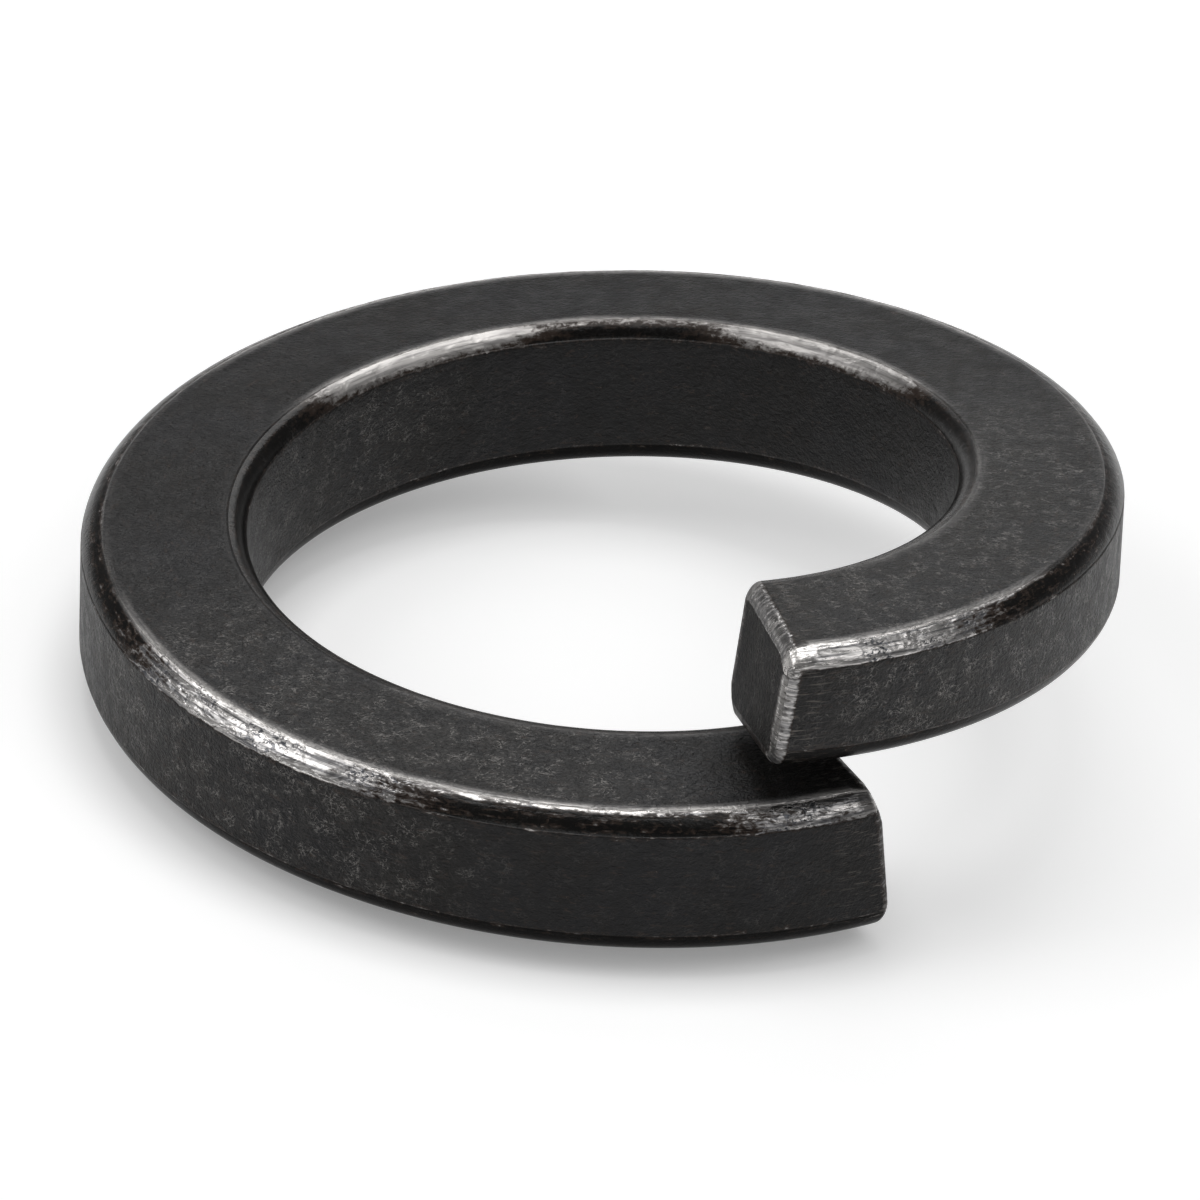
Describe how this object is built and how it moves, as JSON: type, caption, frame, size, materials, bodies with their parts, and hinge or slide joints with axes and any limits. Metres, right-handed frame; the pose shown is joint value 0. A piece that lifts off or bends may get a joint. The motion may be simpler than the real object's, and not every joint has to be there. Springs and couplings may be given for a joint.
{
  "type": "spring lock washer",
  "caption": "Helical spring lock washer: one turn of near-square steel wire with bevelled edges, cut ends standing proud, black oxide finish worn bright on its edges.",
  "frame": {"origin": "on the axis of the bore, level with the washer's lowest point", "axes": "+Z along the bore axis, towards the upper end; the two cut ends lie at the front right, between +X and -Y"},
  "size_m": [0.036, 0.036, 0.012],
  "materials": {
    "black_oxide_steel": "black oxide, satin, finely scratched, worn bright on the bevels near the ends"
  },
  "bodies": {
    "root": {"lock_washer": "black_oxide_steel"}
  },
  "joints": []
}
